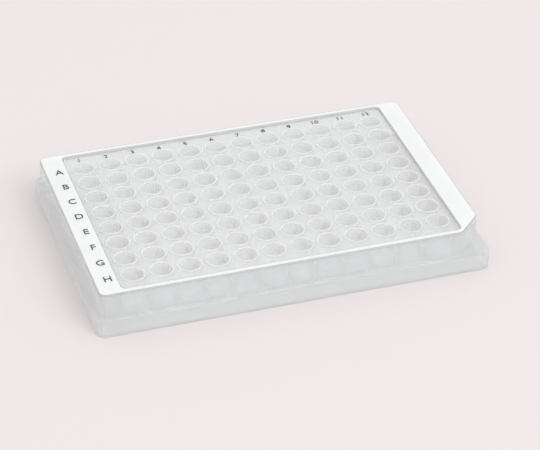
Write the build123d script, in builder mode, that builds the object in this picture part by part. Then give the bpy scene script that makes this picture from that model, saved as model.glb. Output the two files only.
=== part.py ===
"""A clear 96-well microplate, moulded in one piece: a flange round the foot, a skirt, a top frame and a deck of wells.

The frame is the plate's own: the origin is at the centre of its foot, +X runs from column 1 to column 12,
+Y runs from row H to row A, and +Z is up. All lengths are in millimetres.

Everything is measured outwards from the well grid. With the sizes below, the foot comes out at the common
laboratory footprint of 127.76 x 85.48 and the plate stands 14.35 high.
"""

from build123d import *

import os
from math import atan2, degrees, sqrt

# Well grid
column_count = 12
row_count = 8
well_pitch = 9.0

# One well, from its raised rim down to its flat floor. Its round walls are drawn with flat sides, each within
# 0.15 of the circle, to keep 96 of them light.
well_sides = 12
well_mouth_diameter = 6.86
well_floor_diameter = 6.35
well_depth = 10.67
well_wall = 0.8
well_floor_thickness = 1.2
well_foot_clearance = 1.98
well_rim_width = 0.55
well_rim_height = 0.5

# Deck: the sunken plate between the wells, and the tray wall that joins it to the frame
deck_thickness = 1.2
deck_depth = 1.0
deck_margin_x = 1.75
deck_margin_y = 3.95
deck_corner_radius = 1.5
tray_wall = 1.0

# Frame: the flat band round the deck, wide at the ends for the row letters
frame_end_band = 7.65
frame_side_band = 2.31
frame_thickness = 1.2
frame_edge_chamfer = 0.4

# Skirt: the outer wall, with one corner cut off to show which way round the plate lies
skirt_wall = 1.3
skirt_draft = 1.5
skirt_corner_radius = 2.6
key_corner_cut = 8.0

# Flange: the wider band round the foot that nests and grippers hold
flange_height = 6.1
flange_step = 1.55
flange_wall = 1.3
flange_corner_radius = 3.18

# Levels, from the foot up
well_floor_level = well_foot_clearance + well_floor_thickness
well_rim_level = well_floor_level + well_depth
deck_level = well_rim_level - well_rim_height
deck_underside = deck_level - deck_thickness
plate_height = deck_level + deck_depth
frame_underside = plate_height - frame_thickness
flange_underside = flange_height - frame_thickness

# Plan sizes, from the wells outwards
deck_length = (column_count - 1) * well_pitch + well_mouth_diameter + 2 * deck_margin_x
deck_width = (row_count - 1) * well_pitch + well_mouth_diameter + 2 * deck_margin_y
skirt_length = deck_length + 2 * frame_end_band
skirt_width = deck_width + 2 * frame_side_band
footprint_length = skirt_length + 2 * flange_step
footprint_width = skirt_width + 2 * flange_step
well_draft = degrees(atan2((well_mouth_diameter - well_floor_diameter) / 2, well_depth))


def skirt_block(inset, bottom, top):
    """The skirt's drafted outline as a solid block, moved inwards by an inset."""
    length = skirt_length - 2 * inset
    width = skirt_width - 2 * inset
    cut = key_corner_cut - (2 - sqrt(2)) * inset
    with BuildPart(mode=Mode.PRIVATE) as block:
        with BuildSketch(Plane.XY.offset(bottom)):
            with BuildLine():
                Polyline(
                    (-length / 2, -width / 2),
                    (length / 2 - cut, -width / 2),
                    (length / 2, -width / 2 + cut),
                    (length / 2, width / 2),
                    (-length / 2, width / 2),
                    close=True,
                )
            make_face()
        extrude(amount=top - bottom)
        draft(block.faces().filter_by(Axis.Z, reverse=True), Plane.XY.offset(flange_height), skirt_draft)
        fillet(block.edges().filter_by(Plane.XY, reverse=True), radius=skirt_corner_radius - inset)
    return block.part


def well_plug(diameter, bottom, top):
    """A tapered plug on the line of a well's bore, as wide as the diameter at the level of the rim."""
    with BuildPart(mode=Mode.PRIVATE) as plug:
        with BuildSketch(Plane.XY.offset(bottom)):
            RegularPolygon(diameter / 2, well_sides, major_radius=False, rotation=180 / well_sides)
        extrude(amount=top - bottom)
        draft(plug.faces().filter_by(Axis.Z, reverse=True), Plane.XY.offset(well_rim_level), -well_draft)
    return plug.part


with BuildPart() as plate:
    # Flange, and the skirt block that stands on it
    with BuildSketch(Plane.XY):
        RectangleRounded(footprint_length, footprint_width, flange_corner_radius)
    extrude(amount=flange_height)
    add(skirt_block(0, flange_height, plate_height))
    chamfer(plate.faces().sort_by(Axis.Z)[-1].edges(), length=frame_edge_chamfer)

    # Hollow inside the flange, then inside the skirt up to the frame
    with BuildSketch(Plane.XY):
        RectangleRounded(
            footprint_length - 2 * flange_wall,
            footprint_width - 2 * flange_wall,
            flange_corner_radius - flange_wall,
        )
    extrude(amount=flange_underside, mode=Mode.SUBTRACT)
    add(skirt_block(skirt_wall, flange_underside, frame_underside), mode=Mode.SUBTRACT)

    # Tray let into the frame: its wall and floor, then the sunken deck
    with BuildSketch(Plane.XY.offset(deck_underside)):
        RectangleRounded(deck_length + 2 * tray_wall, deck_width + 2 * tray_wall, deck_corner_radius + tray_wall)
    extrude(amount=frame_underside - deck_underside)
    with BuildSketch(Plane.XY.offset(deck_level)):
        RectangleRounded(deck_length, deck_width, deck_corner_radius)
    extrude(amount=deck_depth, mode=Mode.SUBTRACT)

    # Well cups hanging under the deck and rims standing on it, then the bores through both
    with GridLocations(well_pitch, well_pitch, column_count, row_count):
        add(well_plug(well_mouth_diameter + 2 * well_wall, well_foot_clearance, deck_underside))
    with BuildSketch(Plane.XY.offset(deck_level)):
        with GridLocations(well_pitch, well_pitch, column_count, row_count):
            RegularPolygon(
                well_mouth_diameter / 2 + well_rim_width,
                well_sides,
                major_radius=False,
                rotation=180 / well_sides,
            )
    extrude(amount=well_rim_height)
    with GridLocations(well_pitch, well_pitch, column_count, row_count):
        add(well_plug(well_mouth_diameter, well_floor_level, well_rim_level), mode=Mode.SUBTRACT)

plate.part.label = "plate"
os.makedirs("parts", exist_ok=True)
export_step(plate.part, "parts/plate.step")
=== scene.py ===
"""A clear 96-well microplate with its row and column marks, on a plain pale floor.

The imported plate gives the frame: its foot stands on Z = 0, +X runs from column 1 to column 12
and +Y from row H to row A. The shell modelled here stands in the same place with the same sizes,
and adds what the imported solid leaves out: round wells with rounded lips, rounded edges and the
raised marks. Lengths are in millimetres while a piece is modelled, and every finished mesh is in
metres.
"""

from __future__ import annotations

import logging
import math
from dataclasses import dataclass, field
from enum import Enum

import bmesh
import bpy
from mathutils import Matrix, Vector


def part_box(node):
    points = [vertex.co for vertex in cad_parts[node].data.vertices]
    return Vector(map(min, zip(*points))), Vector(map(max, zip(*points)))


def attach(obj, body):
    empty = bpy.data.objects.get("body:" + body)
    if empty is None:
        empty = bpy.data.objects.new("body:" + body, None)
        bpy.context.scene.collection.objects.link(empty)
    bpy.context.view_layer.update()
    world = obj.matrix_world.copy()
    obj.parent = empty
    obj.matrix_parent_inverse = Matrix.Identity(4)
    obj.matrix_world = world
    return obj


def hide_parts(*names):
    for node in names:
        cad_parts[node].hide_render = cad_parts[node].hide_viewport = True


LOG = logging.getLogger("well_plate")

# One millimetre, in metres
MM = 0.001

# Points nearer than this are merged, in millimetres: where parts of the skin meet, and within
# one small shape
SEAM = 1e-3
FINE_SEAM = 1e-4

# How far in from both its sides the middle of a rounded corner stands, as a share of its radius
CORNER_MIDDLE = 0.3

# The value that a noise texture varies about
NOISE_MIDDLE = 0.5

# Red, green, blue and alpha
Colour = tuple[float, float, float, float]
WHITE: Colour = (1.0, 1.0, 1.0, 1.0)

# Radius and height of each point of a profile, or inset and rise of each ring of a wall
Pairs = list[tuple[float, float]]

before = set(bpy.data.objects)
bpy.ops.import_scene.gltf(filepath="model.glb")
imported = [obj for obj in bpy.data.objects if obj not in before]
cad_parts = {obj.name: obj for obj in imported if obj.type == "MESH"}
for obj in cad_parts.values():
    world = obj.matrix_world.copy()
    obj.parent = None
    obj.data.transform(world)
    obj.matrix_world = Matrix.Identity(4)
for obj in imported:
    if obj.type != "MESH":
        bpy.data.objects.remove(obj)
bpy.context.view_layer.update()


class Slot(Enum):
    """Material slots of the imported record."""

    POLYSTYRENE = "clear_polystyrene"


class Region(Enum):
    """Parts of the plate's skin that take a finish of their own, in material order."""

    FIELD = 0
    FRAME = 1
    WALL = 2
    # Painted shade: the edges are coloured darker than the rest of the skin
    EDGE = 3
    # Painted highlight: the lips are coloured whiter than the wells
    LIP = 4


def place_mesh(name: str, mesh: bmesh.types.BMesh) -> bpy.types.Object:
    """Makes an object of a finished mesh and puts it in the scene.

    Args:
        name: the object's name.
        mesh: the mesh, in metres. It is freed.

    Returns:
        The object, at the origin.
    """
    data = bpy.data.meshes.new(name)
    mesh.to_mesh(data)
    mesh.free()
    piece = bpy.data.objects.new(name, data)
    bpy.context.scene.collection.objects.link(piece)
    return piece


# Shader maths


class Signal:
    """A socket's value, with arithmetic that adds Math nodes."""

    def __init__(self, graph: Graph, socket: bpy.types.NodeSocket) -> None:
        """Wraps an output socket of a graph."""
        self.graph = graph
        self.socket = socket

    def _math(self, operation: str, first: Signal | float, second: Signal | float) -> Signal:
        """Adds one Math node and returns its value."""
        return self.graph.add(
            "ShaderNodeMath", {"operation": operation}, {0: first, 1: second}
        ).out()

    def __add__(self, other: Signal | float) -> Signal:
        """Sum of two values."""
        return self._math("ADD", self, other)

    def __sub__(self, other: Signal | float) -> Signal:
        """Difference of two values."""
        return self._math("SUBTRACT", self, other)

    def __rsub__(self, other: float) -> Signal:
        """Difference from a number."""
        return self._math("SUBTRACT", other, self)

    def __mul__(self, other: Signal | float) -> Signal:
        """Product of two values."""
        return self._math("MULTIPLY", self, other)

    def __or__(self, other: Signal | float) -> Signal:
        """1 where at least one of two yes-or-no values is 1."""
        return self._math("MAXIMUM", self, other)

    __radd__ = __add__
    __rmul__ = __mul__
    __ror__ = __or__


class Added:
    """A node that has just been added to a graph."""

    def __init__(self, graph: Graph, node: bpy.types.Node) -> None:
        """Keeps the node with its graph."""
        self.graph = graph
        self.node = node

    def out(self, name: str | int = 0) -> Signal:
        """One of the node's outputs, by name or place."""
        return Signal(self.graph, self.node.outputs[name])


class Graph:
    """The node tree of one material or of the world."""

    def __init__(self, tree: bpy.types.NodeTree) -> None:
        """Starts from an empty tree."""
        self.tree = tree
        tree.nodes.clear()

    def add(self, kind: str, settings: dict | None = None, inputs: dict | None = None) -> Added:
        """Adds a node, applies its settings and then fills its sockets.

        Args:
            kind: the node's type, such as ShaderNodeMath.
            settings: attributes of the node; "stops" holds a ramp's positions and colours.
            inputs: numbers, colours or signals, by the name or place of the socket.

        Returns:
            The node, ready to be read from.
        """
        node = self.tree.nodes.new(kind)
        for name, value in (settings or {}).items():
            if name == "stops":
                self._set_stops(node.color_ramp, value)
            else:
                setattr(node, name, value)
        for name, value in (inputs or {}).items():
            if isinstance(value, Signal):
                self.tree.links.new(value.socket, node.inputs[name])
            else:
                node.inputs[name].default_value = value
        return Added(self, node)

    @staticmethod
    def _set_stops(ramp: bpy.types.ColorRamp, stops: list[tuple[float, Colour]]) -> None:
        """Gives a ramp its stops.

        Args:
            ramp: the ramp to change.
            stops: pairs of a position and a colour.
        """
        while len(ramp.elements) < len(stops):
            ramp.elements.new(1.0)
        for element, (position, colour) in zip(ramp.elements, stops):
            element.position = position
            element.color = colour

    def noise(self, place: Signal, scale: float, detail: float, roughness: float = 0.5) -> Signal:
        """Adds soft noise that fills space.

        Args:
            place: coordinates to read it at.
            scale: patches to the metre.
            detail: how many finer layers lie on it.
            roughness: how much each finer layer counts.

        Returns:
            The noise, from 0 to 1.
        """
        return self.add(
            "ShaderNodeTexNoise",
            {"noise_dimensions": "3D"},
            {"Vector": place, "Scale": scale, "Detail": detail, "Roughness": roughness},
        ).out("Fac")


def start_material(name: str) -> tuple[bpy.types.Material, Graph]:
    """Makes a material with nothing in it yet.

    Args:
        name: the material's name.

    Returns:
        The material and its empty graph.
    """
    material = bpy.data.materials.new(name)
    material.use_nodes = True
    return material, Graph(material.node_tree)


def linear(red: float, green: float, blue: float) -> Colour:
    """A colour given from 0 to 255 as a screen shows it, in the linear values that shaders use.

    Args:
        red: red as shown.
        green: green as shown.
        blue: blue as shown.

    Returns:
        Linear red, green and blue, and an alpha of 1.
    """

    def channel(value: float) -> float:
        """One channel made linear, by the curve of a standard screen."""
        share = value / 255
        return share / 12.92 if share <= 0.04045 else ((share + 0.055) / 1.055) ** 2.4

    return channel(red), channel(green), channel(blue), 1.0


# Finishes


@dataclass(frozen=True)
class ClearPlastic:
    """Moulded clear polystyrene: see-through, a little milky, with faint flow marks.

    The flow is the slow change of colour, gloss and height from patch to patch, and the grain is
    a finer change of height on top of it.
    """

    name: str
    tint: Colour
    shade: Colour
    transmission: float
    roughness: float
    ior: float
    alpha: float
    roughness_spread: float = 0.04
    flow_scale: float = 60.0
    flow_detail: float = 3.0
    flow_height: float = 0.00002
    grain_ratio: float = 25.0
    grain_detail: float = 2.0
    grain_share: float = 0.3
    bump_strength: float = 0.25

    def material(self) -> bpy.types.Material:
        """Makes the material.

        Returns:
            A material whose colour, roughness and bump follow the flow.
        """
        material, graph = start_material(self.name)
        place = graph.add("ShaderNodeTexCoord").out("Object")
        flow = graph.noise(place, self.flow_scale, self.flow_detail)
        grain = graph.noise(place, self.grain_ratio * self.flow_scale, self.grain_detail)
        colour = graph.add(
            "ShaderNodeMix",
            {"data_type": "RGBA"},
            {"Factor": flow, "A": self.tint, "B": self.shade},
        ).out("Result")
        bump = graph.add(
            "ShaderNodeBump",
            {},
            {
                "Strength": self.bump_strength,
                "Distance": self.flow_height,
                "Height": flow + self.grain_share * grain,
            },
        ).out("Normal")
        surface = graph.add(
            "ShaderNodeBsdfPrincipled",
            {},
            {
                "Base Color": colour,
                "Roughness": self.roughness + self.roughness_spread * (flow - NOISE_MIDDLE),
                "IOR": self.ior,
                "Transmission Weight": self.transmission,
                "Alpha": self.alpha,
                "Normal": bump,
            },
        ).out("BSDF")
        graph.add("ShaderNodeOutputMaterial", {}, {"Surface": surface})
        return material


@dataclass(frozen=True)
class MarkInk:
    """Dark grey ink of the row and column marks, slightly uneven as pad printing leaves it."""

    name: str
    full: Colour = linear(52, 56, 60)
    thin: Colour = linear(92, 97, 101)
    full_until: float = 0.45
    thin_from: float = 0.75
    roughness: float = 0.45
    roughness_spread: float = 0.2
    grain_scale: float = 2600.0
    grain_detail: float = 2.0
    grain_roughness: float = 0.6

    def material(self) -> bpy.types.Material:
        """Makes the material.

        Returns:
            A material whose colour and roughness vary in small specks.
        """
        material, graph = start_material(self.name)
        place = graph.add("ShaderNodeTexCoord").out("Object")
        speck = graph.noise(place, self.grain_scale, self.grain_detail, self.grain_roughness)
        stops = [(self.full_until, self.full), (self.thin_from, self.thin)]
        colour = graph.add("ShaderNodeValToRGB", {"stops": stops}, {"Fac": speck}).out("Color")
        surface = graph.add(
            "ShaderNodeBsdfPrincipled",
            {},
            {
                "Base Color": colour,
                "Roughness": self.roughness + self.roughness_spread * (speck - NOISE_MIDDLE),
            },
        ).out("BSDF")
        graph.add("ShaderNodeOutputMaterial", {}, {"Surface": surface})
        return material


def plate_finishes() -> dict[Region, ClearPlastic]:
    """Lists the finishes of the plate's skin.

    The wells and walls pass much of what lies behind them, and the frame is milkier. The lips are
    whiter than the wells, a painted highlight on their rims, and the edges are the darkest, a
    painted shade for the dark look of clear plastic seen edge on.

    Returns:
        The finish of each region.
    """
    return {
        Region.FIELD: ClearPlastic(
            "clear_wells",
            tint=linear(253, 255, 255),
            shade=linear(249, 252, 252),
            transmission=0.05,
            roughness=0.10,
            ior=1.3,
            alpha=0.24,
        ),
        Region.FRAME: ClearPlastic(
            "milky_frame",
            tint=linear(254, 255, 255),
            shade=linear(246, 249, 249),
            transmission=0.0,
            roughness=0.3,
            ior=1.5,
            alpha=0.88,
        ),
        Region.WALL: ClearPlastic(
            "satin_walls",
            tint=linear(244, 255, 254),
            shade=linear(238, 252, 251),
            transmission=0.64,
            roughness=0.05,
            ior=1.45,
            alpha=0.45,
            flow_scale=140.0,
            flow_height=0.0001,
        ),
        # Painted shade: the edges are coloured darkest, for the dark look of clear plastic seen
        # edge on
        Region.EDGE: ClearPlastic(
            "edges_painted_shade",
            tint=linear(208, 215, 213),
            shade=linear(194, 203, 201),
            transmission=0.4,
            roughness=0.12,
            ior=1.5,
            alpha=1.0,
        ),
        # Painted highlight: the lips are whiter and less see-through than the wells, for the bright
        # rings on their rims
        Region.LIP: ClearPlastic(
            "lips_painted_highlight",
            tint=linear(254, 255, 255),
            shade=linear(246, 250, 250),
            transmission=0.0,
            roughness=0.15,
            ior=1.4,
            alpha=0.46,
        ),
    }


# The plate


@dataclass
class WellGrid:
    """The grid of wells and the shape of one well."""

    columns: int = 12
    rows: int = 8
    pitch: float = 9.0
    mouth_radius: float = 3.43
    floor_radius: float = 3.175
    depth: float = 10.67
    wall: float = 0.8
    floor_thickness: float = 1.2
    lip_width: float = 0.55
    lip_height: float = 0.5
    edge_radius: float = 0.15
    corner_radius: float = 0.35
    sides: int = 32

    @property
    def length(self) -> float:
        """Length over the mouths of the first and last columns."""
        return self.columns * self.pitch + (2 * self.mouth_radius - self.pitch)

    @property
    def width(self) -> float:
        """Width over the mouths of the first and last rows."""
        return self.rows * self.pitch + (2 * self.mouth_radius - self.pitch)

    def column_place(self, column: int) -> float:
        """X of a column's centre line, counted from 0."""
        return (column - (self.columns - 1) / 2) * self.pitch

    def row_place(self, row: int) -> float:
        """Y of a row's centre line, counted from 0 at row A."""
        return ((self.rows - 1) / 2 - row) * self.pitch

    def upper_profile(self, deck: float) -> Pairs:
        """The well's upper skin from the deck over the lip and down the bore to the floor.

        Args:
            deck: height of the deck.

        Returns:
            Pairs of radius and height, ending on the well's axis.
        """
        top = deck + self.lip_height
        floor = top - self.depth
        outer = self.mouth_radius + self.lip_width
        edge = self.edge_radius
        corner = self.corner_radius
        middle = CORNER_MIDDLE * corner
        return [
            (outer, deck),
            (outer, top - edge),
            (outer - edge, top),
            (self.mouth_radius + edge, top),
            (self.mouth_radius, top - edge),
            (self.floor_radius, floor + corner),
            (self.floor_radius - middle, floor + middle),
            (self.floor_radius - corner, floor),
            (0.0, floor),
        ]

    def lower_profile(self, deck: float, underside: float) -> Pairs:
        """The well's lower skin from the deck's underside down the cup to its foot.

        Args:
            deck: height of the deck.
            underside: height of the deck's underside.

        Returns:
            Pairs of radius and height, ending on the well's axis.
        """
        foot = deck + self.lip_height - self.depth - self.floor_thickness
        radius = self.floor_radius + self.wall
        corner = self.corner_radius
        middle = CORNER_MIDDLE * corner
        return [
            (self.mouth_radius + self.wall, underside),
            (radius, foot + corner),
            (radius - middle, foot + middle),
            (radius - corner, foot),
            (0.0, foot),
        ]

    def add_cell(self, mesh: bmesh.types.BMesh, profile: Pairs) -> None:
        """Turns a profile about the well's axis and carries it out to the square cell around it.

        Faces that stand above the profile's start are the lip's, and take its finish, whose whiter
        colour is a painted highlight.

        Args:
            mesh: the mesh to add to.
            profile: pairs of radius and height, from the deck to the axis.
        """
        line = [mesh.verts.new((radius, 0, height)) for radius, height in profile]
        edges = [mesh.edges.new(pair) for pair in zip(line, line[1:])]
        bmesh.ops.spin(
            mesh,
            geom=line + edges,
            cent=(0, 0, 0),
            axis=(0, 0, 1),
            angle=math.tau,
            steps=self.sides,
            use_merge=True,
        )
        bmesh.ops.remove_doubles(mesh, verts=mesh.verts, dist=FINE_SEAM)
        lip_start = profile[0][1] + self.edge_radius
        # The lip's faces take the finish with the painted highlight
        for face in mesh.faces:
            if min(v.co.z for v in face.verts) > lip_start:
                face.material_index = Region.LIP.value
        rim = [e for e in mesh.edges if e.is_boundary]
        grown = bmesh.ops.extrude_edge_only(mesh, edges=rim)["geom"]
        for vert in (g for g in grown if isinstance(g, bmesh.types.BMVert)):
            vert.co.xy *= self.pitch / 2 / max(abs(vert.co.x), abs(vert.co.y))

    def add_field(self, mesh: bmesh.types.BMesh, profile: Pairs) -> None:
        """Fills the whole grid with cells of one profile, joined at their sides.

        Args:
            mesh: the mesh to add to.
            profile: pairs of radius and height, from the deck to the axis.
        """
        cell = bmesh.new()
        self.add_cell(cell, profile)
        first = Vector((self.column_place(0), self.row_place(0), 0))
        bmesh.ops.translate(cell, verts=cell.verts, vec=first)
        for count, step in ((self.columns, (self.pitch, 0, 0)), (self.rows, (0, -self.pitch, 0))):
            base = cell.verts[:] + cell.edges[:] + cell.faces[:]
            for turn in range(1, count):
                copy = bmesh.ops.duplicate(cell, geom=base)["geom"]
                verts = [g for g in copy if isinstance(g, bmesh.types.BMVert)]
                bmesh.ops.translate(cell, verts=verts, vec=Vector(step) * turn)
        bmesh.ops.remove_doubles(cell, verts=cell.verts, dist=SEAM)
        part = bpy.data.meshes.new("field")
        cell.to_mesh(part)
        cell.free()
        mesh.from_mesh(part)
        bpy.data.meshes.remove(part)


@dataclass
class Outline:
    """A rounded rectangle, with the corner of the last column and row cut off by key_cut."""

    length: float
    width: float
    corner_radius: float
    key_cut: float = 0.0
    segments: int = 6

    def add_face(self, mesh: bmesh.types.BMesh, height: float) -> bmesh.types.BMFace:
        """Adds the outline as one flat face.

        Args:
            mesh: the mesh to add to.
            height: where the face lies.

        Returns:
            The face.
        """
        corners = bmesh.ops.create_grid(mesh, x_segments=1, y_segments=1, size=0.5)["verts"]
        bmesh.ops.scale(mesh, vec=(self.length, self.width, 1), verts=corners)
        bmesh.ops.translate(mesh, vec=(0, 0, height), verts=corners)
        face = corners[0].link_faces[0]
        blunt: list[bmesh.types.BMVert] = []
        if self.key_cut:
            key = max(face.verts, key=lambda v: v.co.x - v.co.y)
            blunt = self._bevel(mesh, [key], self.key_cut, 1)
            face = blunt[0].link_faces[0]
        square = [v for v in face.verts if v not in blunt]
        face = self._bevel(mesh, square, self.corner_radius, self.segments)[0].link_faces[0]
        if blunt:
            # The outline turns by 45 degrees at each end of the cut, so half of that counts
            blunt = [v for v in blunt if v.is_valid]
            reach = self.corner_radius * math.tan(math.pi / 8)
            face = self._bevel(mesh, blunt, reach, self.segments // 2)[0].link_faces[0]
        return face

    @staticmethod
    def _bevel(
        mesh: bmesh.types.BMesh, verts: list[bmesh.types.BMVert], reach: float, segments: int
    ) -> list[bmesh.types.BMVert]:
        """Bevels corners of a flat face.

        Args:
            mesh: the mesh.
            verts: the corners.
            reach: how far along its sides each bevel starts.
            segments: sides of each bevel.

        Returns:
            The new corners.
        """
        return bmesh.ops.bevel(
            mesh,
            geom=verts,
            offset=reach,
            offset_type="OFFSET",
            affect="VERTICES",
            segments=segments,
            profile=0.5,
            material=-1,
        )["verts"]


@dataclass
class PlateShell:
    """The plate's moulded shell, from the flange round its foot to the lips of its wells."""

    grid: WellGrid = field(default_factory=WellGrid)
    finishes: dict[Region, ClearPlastic] = field(default_factory=plate_finishes)
    deck_margin_x: float = 1.75
    deck_margin_y: float = 3.95
    deck_corner_radius: float = 1.5
    deck_thickness: float = 1.2
    deck_depth: float = 1.0
    tray_wall: float = 1.0
    tray_gap: float = 0.2
    frame_thickness: float = 1.2
    skirt_wall: float = 1.3
    skirt_draft: float = 1.5
    skirt_corner_radius: float = 2.6
    key_cut: float = 8.0
    flange_height: float = 6.1
    flange_step: float = 1.55
    flange_wall: float = 1.3
    flange_corner_radius: float = 3.18
    edge_radius: float = 0.35
    edge_segments: int = 3
    # Height of the band at the skirt's top that takes the edges' painted shade
    edge_line: float = 0.45
    crease: float = math.radians(40)
    length: float = field(init=False)
    width: float = field(init=False)
    height: float = field(init=False)

    def __post_init__(self) -> None:
        """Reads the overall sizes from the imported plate."""
        low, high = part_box("plate")
        self.length = (high.x - low.x) / MM
        self.width = (high.y - low.y) / MM
        self.height = (high.z - low.z) / MM

    @property
    def deck(self) -> float:
        """Height of the deck's upper face."""
        return self.height - self.deck_depth

    @property
    def underside(self) -> float:
        """Height of the deck's underside."""
        return self.deck - self.deck_thickness

    @property
    def frame_underside(self) -> float:
        """Height of the frame's underside."""
        return self.height - self.frame_thickness

    @property
    def flange_underside(self) -> float:
        """Height of the underside of the step between flange and skirt."""
        return self.flange_height - self.frame_thickness

    @property
    def deck_length(self) -> float:
        """Length of the deck."""
        return self.grid.length + 2 * self.deck_margin_x

    @property
    def deck_width(self) -> float:
        """Width of the deck."""
        return self.grid.width + 2 * self.deck_margin_y

    @property
    def skirt_length(self) -> float:
        """Length of the skirt where it stands on the flange."""
        return self.length - 2 * self.flange_step

    @property
    def skirt_width(self) -> float:
        """Width of the skirt where it stands on the flange."""
        return self.width - 2 * self.flange_step

    @property
    def lean(self) -> float:
        """How far the skirt leans in for each millimetre that it rises."""
        return math.tan(math.radians(self.skirt_draft))

    @property
    def inner_start(self) -> float:
        """How far inside the skirt's outline its inner face starts."""
        return self.skirt_wall - (self.flange_height - self.flange_underside) * self.lean

    @property
    def inner_rise(self) -> float:
        """Height of the skirt's inner face."""
        return self.frame_underside - self.flange_underside

    def rounding(self, outward: bool = False) -> Pairs:
        """Steps that round an edge from a wall into the flat above it, or the other way round.

        Args:
            outward: True to go from the flat into the wall.

        Returns:
            Pairs of inset and rise.
        """
        radius = self.edge_radius
        turns = [math.pi / 2 * i / self.edge_segments for i in range(self.edge_segments + 1)]
        steps = [
            (radius * (math.cos(a) - math.cos(b)), radius * (math.sin(b) - math.sin(a)))
            for a, b in zip(turns, turns[1:])
        ]
        return [(rise, inset) for inset, rise in steps] if outward else steps

    def add_band(
        self,
        mesh: bmesh.types.BMesh,
        outline: Outline,
        start: float,
        runs: list[tuple[Region, Pairs]],
    ) -> None:
        """Adds a closed wall that follows an outline, open at both ends.

        Args:
            mesh: the mesh to add to.
            outline: the outline at the wall's start.
            start: height of the wall's start.
            runs: for each stretch of the wall its finish, and the inset and rise of its rings.
        """
        face = outline.add_face(mesh, start)
        for region, steps in runs:
            for inset, rise in steps:
                ring = bmesh.ops.inset_region(
                    mesh, faces=[face], thickness=inset, use_even_offset=True, use_boundary=True
                )["faces"]
                bmesh.ops.translate(mesh, vec=(0, 0, rise), verts=face.verts)
                for wall in ring:
                    wall.material_index = region.value
        bmesh.ops.delete(mesh, geom=[face], context="FACES_ONLY")

    def add_flat(self, mesh: bmesh.types.BMesh, height: float, region: Region) -> None:
        """Fills the flat ring between the two open outlines that lie at one height.

        Args:
            mesh: the mesh to add to.
            height: the height of both outlines.
            region: the finish that the flat takes.
        """
        rims = [
            e
            for e in mesh.edges
            if e.is_boundary and all(abs(v.co.z - height) < SEAM for v in e.verts)
        ]
        fill = bmesh.ops.triangle_fill(mesh, edges=rims, use_beauty=True, normal=(0, 0, 1))["geom"]
        for face in (g for g in fill if isinstance(g, bmesh.types.BMFace)):
            face.material_index = region.value

    def add_outside(self, mesh: bmesh.types.BMesh) -> None:
        """Adds the outer walls of the flange and the skirt, each rounded into the flat above it.

        Args:
            mesh: the mesh to add to.
        """
        foot = Outline(self.length, self.width, self.flange_corner_radius)
        side = [(0, self.flange_height - self.edge_radius), *self.rounding()]
        self.add_band(mesh, foot, 0, [(Region.WALL, side)])

        skirt = Outline(self.skirt_length, self.skirt_width, self.skirt_corner_radius, self.key_cut)
        rise = self.height - self.flange_height - self.edge_radius - self.edge_line
        side = [(rise * self.lean, rise)]
        # The skirt's top band and its rounding take the edges' finish, a painted shade
        top = [(self.edge_line * self.lean, self.edge_line), *self.rounding()]
        self.add_band(mesh, skirt, self.flange_height, [(Region.WALL, side), (Region.EDGE, top)])

    def add_inside(self, mesh: bmesh.types.BMesh) -> None:
        """Adds the inner walls of the flange and the skirt.

        Args:
            mesh: the mesh to add to.
        """
        wall = self.flange_wall
        flange = Outline(
            self.length - 2 * wall, self.width - 2 * wall, self.flange_corner_radius - wall
        )
        self.add_band(mesh, flange, 0, [(Region.WALL, [(0, self.flange_underside)])])

        # Moved inwards, the outline keeps its cut corner's wall thickness with a shorter cut
        wall = self.inner_start
        skirt = Outline(
            self.skirt_length - 2 * wall,
            self.skirt_width - 2 * wall,
            self.skirt_corner_radius - wall,
            self.key_cut - (2 - math.sqrt(2)) * wall,
        )
        side = [(self.inner_rise * self.lean, self.inner_rise)]
        self.add_band(mesh, skirt, self.flange_underside, [(Region.WALL, side)])

    def add_tray(self, mesh: bmesh.types.BMesh) -> None:
        """Adds the wall of the recess in the frame, and the tray's outer wall under the frame.

        Args:
            mesh: the mesh to add to.
        """
        edge = self.edge_radius
        recess = Outline(
            self.deck_length + 2 * edge, self.deck_width + 2 * edge, self.deck_corner_radius + edge
        )
        # The recess wall takes the edges' finish, a painted shade
        side = [(inset, -fall) for inset, fall in self.rounding(outward=True)]
        side.append((0, edge - self.deck_depth))
        self.add_band(mesh, recess, self.height, [(Region.EDGE, side)])

        # The tray stays clear of the skirt's inner face, which leans in towards it
        clearance = 2 * (self.inner_start + self.inner_rise * self.lean) + 2 * self.tray_gap
        tray = Outline(
            self.deck_length + 2 * self.tray_wall,
            min(self.deck_width + 2 * self.tray_wall, self.skirt_width - clearance),
            self.deck_corner_radius + self.tray_wall,
        )
        side = [(0, self.frame_underside - self.underside)]
        self.add_band(mesh, tray, self.underside, [(Region.FIELD, side)])

    def build(self) -> bpy.types.Object:
        """Models the shell.

        Returns:
            The shell's object, in metres.
        """
        mesh = bmesh.new()
        self.grid.add_field(mesh, self.grid.upper_profile(self.deck))
        self.grid.add_field(mesh, self.grid.lower_profile(self.deck, self.underside))
        self.add_outside(mesh)
        self.add_inside(mesh)
        self.add_tray(mesh)
        self.add_flat(mesh, 0, Region.WALL)
        self.add_flat(mesh, self.flange_underside, Region.WALL)
        self.add_flat(mesh, self.flange_height, Region.WALL)
        self.add_flat(mesh, self.underside, Region.FIELD)
        self.add_flat(mesh, self.frame_underside, Region.FRAME)
        self.add_flat(mesh, self.deck, Region.FIELD)
        self.add_flat(mesh, self.height, Region.FRAME)
        return self.finish(mesh)

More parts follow.
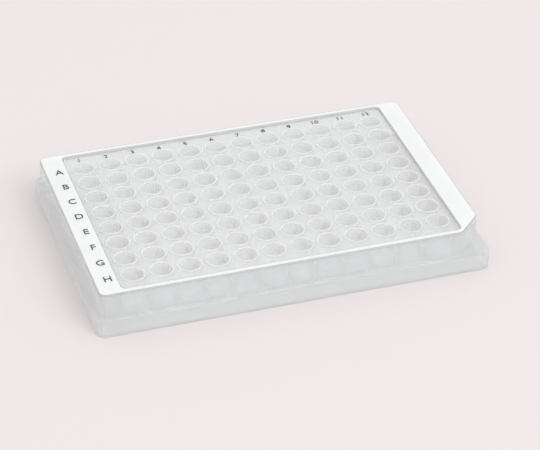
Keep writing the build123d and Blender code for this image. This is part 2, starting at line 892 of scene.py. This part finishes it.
    def finish(self, mesh: bmesh.types.BMesh) -> bpy.types.Object:
        """Closes the skin, turns it outwards and makes an object of it.

        Args:
            mesh: the modelled skin, in millimetres.

        Returns:
            The object, in metres.
        """
        bmesh.ops.remove_doubles(mesh, verts=mesh.verts, dist=SEAM)
        bmesh.ops.recalc_face_normals(mesh, faces=mesh.faces)
        open_edges = sum(not e.is_manifold for e in mesh.edges)
        LOG.info("shell: %d faces, %d open edges", len(mesh.faces), open_edges)
        for face in mesh.faces:
            face.smooth = True
        for edge in mesh.edges:
            edge.smooth = edge.is_manifold and edge.calc_face_angle(0) < self.crease
        bmesh.ops.scale(mesh, vec=(MM, MM, MM), verts=mesh.verts)
        piece = place_mesh("plate_shell", mesh)
        piece.modifiers.new("even_shading", "WEIGHTED_NORMAL").keep_sharp = True
        return piece

    def dress(self, piece: bpy.types.Object) -> None:
        """Gives each region its finish.

        Args:
            piece: the shell's object.
        """
        for region in Region:
            piece.data.materials.append(self.finishes[region].material())
        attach(piece, "root")
        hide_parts("plate")


@dataclass
class IndexMarks:
    """The letters of the rows and the numbers of the columns.

    The letters stand on the frame, a little nearer to the last row than their rows do, and the
    numbers on the deck behind row A.
    """

    shell: PlateShell
    ink: MarkInk
    letter_size: float = 4.0
    letter_place: float = -57.7
    letter_drop: float = 1.4
    number_size: float = 2.9
    number_place: float = 36.7
    relief: float = 0.12
    sunk: float = 0.03
    curve_steps: int = 4

    def add_mark(self, text: str, size: float, place: Vector) -> bpy.types.Object:
        """Makes one mark as a thin raised mesh.

        Args:
            text: the letter or number.
            size: its height as set, in millimetres.
            place: centre of the mark on the face that carries it, in millimetres.

        Returns:
            The mark's object, in metres.
        """
        name = f"mark_{text}"
        curve = bpy.data.curves.new(name, "FONT")
        curve.body = text
        curve.size = size
        curve.align_x = "CENTER"
        curve.align_y = "CENTER"
        curve.extrude = (self.relief + self.sunk) / 2
        curve.resolution_u = self.curve_steps
        maker = bpy.data.objects.new(name, curve)
        data = bpy.data.meshes.new_from_object(maker)
        bpy.data.objects.remove(maker)
        bpy.data.curves.remove(curve)
        mesh = bmesh.new()
        mesh.from_mesh(data)
        bpy.data.meshes.remove(data)
        bmesh.ops.remove_doubles(mesh, verts=mesh.verts, dist=FINE_SEAM)
        bmesh.ops.dissolve_degenerate(mesh, edges=mesh.edges, dist=SEAM)
        lift = Vector((0, 0, (self.relief - self.sunk) / 2))
        bmesh.ops.translate(mesh, vec=place + lift, verts=mesh.verts)
        bmesh.ops.scale(mesh, vec=(MM, MM, MM), verts=mesh.verts)
        return place_mesh(name, mesh)

    def build(self) -> list[bpy.types.Object]:
        """Makes all the marks.

        Returns:
            The eight letters and the twelve numbers.
        """
        grid = self.shell.grid
        letters = [
            self.add_mark(
                letter,
                self.letter_size,
                Vector(
                    (self.letter_place, grid.row_place(row) - self.letter_drop, self.shell.height)
                ),
            )
            for row, letter in enumerate("ABCDEFGH")
        ]
        numbers = [
            self.add_mark(
                str(column + 1),
                self.number_size,
                Vector((grid.column_place(column), self.number_place, self.shell.deck)),
            )
            for column in range(grid.columns)
        ]
        return letters + numbers

    def dress(self, pieces: list[bpy.types.Object]) -> None:
        """Inks the marks.

        Args:
            pieces: the marks' objects.
        """
        material = self.ink.material()
        for piece in pieces:
            piece.data.materials.append(material)
            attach(piece, "root")


# The stage


@dataclass(frozen=True)
class Lamp:
    """A square soft lamp that faces the plate, with place and side in metres, power in watts."""

    name: str
    place: tuple[float, float, float]
    side: float
    power: float

    def hang(self) -> None:
        """Puts the lamp in the scene."""
        data = bpy.data.lights.new(self.name, "AREA")
        data.size = self.side
        data.energy = self.power
        lamp = bpy.data.objects.new(self.name, data)
        lamp.location = self.place
        lamp.rotation_euler = Vector(self.place).to_track_quat("Z", "Y").to_euler()
        bpy.context.scene.collection.objects.link(lamp)


@dataclass
class Studio:
    """The pale floor, the soft lights and the camera, with angles in degrees, places in metres."""

    backdrop: Colour = linear(239, 230, 231)
    azimuth: float = -17.346
    elevation: float = 33.717
    distance: float = 0.774945
    lens: float = 160.12
    sensor: float = 36.0
    shift: tuple[float, float] = (0.02354, 0.00875)
    nearest: float = 0.01
    floor_size: float = 6.0
    sky: float = 0.83
    key: Lamp = Lamp("key", (1.0, -1.6, 1.8), 1.6, 20.4)
    fill: Lamp = Lamp("fill", (-0.6, 0.5, 1.0), 0.9, 0.3)
    clear_bounces: int = 32
    matt_bounces: int = 12

    def allow_bounces(self) -> None:
        """Lets light cross the many clear walls of the wells.

        The usual limits would stop it on the way and leave black.
        """
        cycles = bpy.context.scene.cycles
        cycles.max_bounces = self.clear_bounces
        cycles.transmission_bounces = self.clear_bounces
        cycles.transparent_max_bounces = self.clear_bounces
        cycles.diffuse_bounces = self.matt_bounces

    def add_camera(self) -> None:
        """Looks at the middle of the plate's foot."""
        turn, lift = math.radians(self.azimuth), math.radians(self.elevation)
        back = Vector(
            (math.sin(turn) * math.cos(lift), -math.cos(turn) * math.cos(lift), math.sin(lift))
        )
        data = bpy.data.cameras.new("camera")
        data.lens = self.lens
        data.sensor_width = self.sensor
        data.shift_x, data.shift_y = self.shift
        data.clip_start = self.nearest
        camera = bpy.data.objects.new("camera", data)
        facing = back.to_track_quat("Z", "Y").to_matrix().to_4x4()
        camera.matrix_world = Matrix.Translation(back * self.distance) @ facing
        bpy.context.scene.collection.objects.link(camera)
        bpy.context.scene.camera = camera

    def add_floor(self) -> None:
        """Lays the floor under the plate's foot."""
        mesh = bmesh.new()
        bmesh.ops.create_grid(mesh, x_segments=1, y_segments=1, size=self.floor_size / 2)
        floor = place_mesh("floor", mesh)
        material, graph = start_material("pale_floor")
        surface = graph.add("ShaderNodeBsdfDiffuse", {}, {"Color": self.backdrop}).out("BSDF")
        graph.add("ShaderNodeOutputMaterial", {}, {"Surface": surface})
        floor.data.materials.append(material)

    def add_sky(self) -> None:
        """Lights the scene evenly, and shows the backdrop's colour past the floor."""
        world = bpy.data.worlds.new("studio")
        world.use_nodes = True
        bpy.context.scene.world = world
        graph = Graph(world.node_tree)
        path = graph.add("ShaderNodeLightPath")
        seen = (
            path.out("Is Camera Ray") | path.out("Is Glossy Ray") | path.out("Is Transmission Ray")
        )
        light = graph.add("ShaderNodeBackground", {}, {"Color": WHITE, "Strength": self.sky})
        # At a strength of 1 the backdrop shows in its own colour
        shown = graph.add("ShaderNodeBackground", {}, {"Color": self.backdrop, "Strength": 1.0})
        mixed = graph.add("ShaderNodeMixShader", {}, {0: seen, 1: light.out(), 2: shown.out()})
        graph.add("ShaderNodeOutputWorld", {}, {"Surface": mixed.out()})

    def build(self) -> None:
        """Sets the whole stage."""
        self.allow_bounces()
        self.add_camera()
        self.add_floor()
        self.add_sky()
        self.key.hang()
        self.fill.hang()
        bpy.context.scene.view_settings.view_transform = "Standard"


def main() -> None:
    """Builds the stage, the plate and its marks."""
    logging.basicConfig(level=logging.INFO, format="%(name)s: %(message)s")
    Studio().build()
    LOG.info("studio ready")
    shell = PlateShell()
    plate = shell.build()
    shell.dress(plate)
    LOG.info("%s ready", plate.name)
    marks = IndexMarks(shell, MarkInk("mark_ink"))
    pieces = marks.build()
    marks.dress(pieces)
    for piece in pieces:
        LOG.info("%s ready", piece.name)
    bpy.context.view_layer.update()


if __name__ == "__main__":
    main()
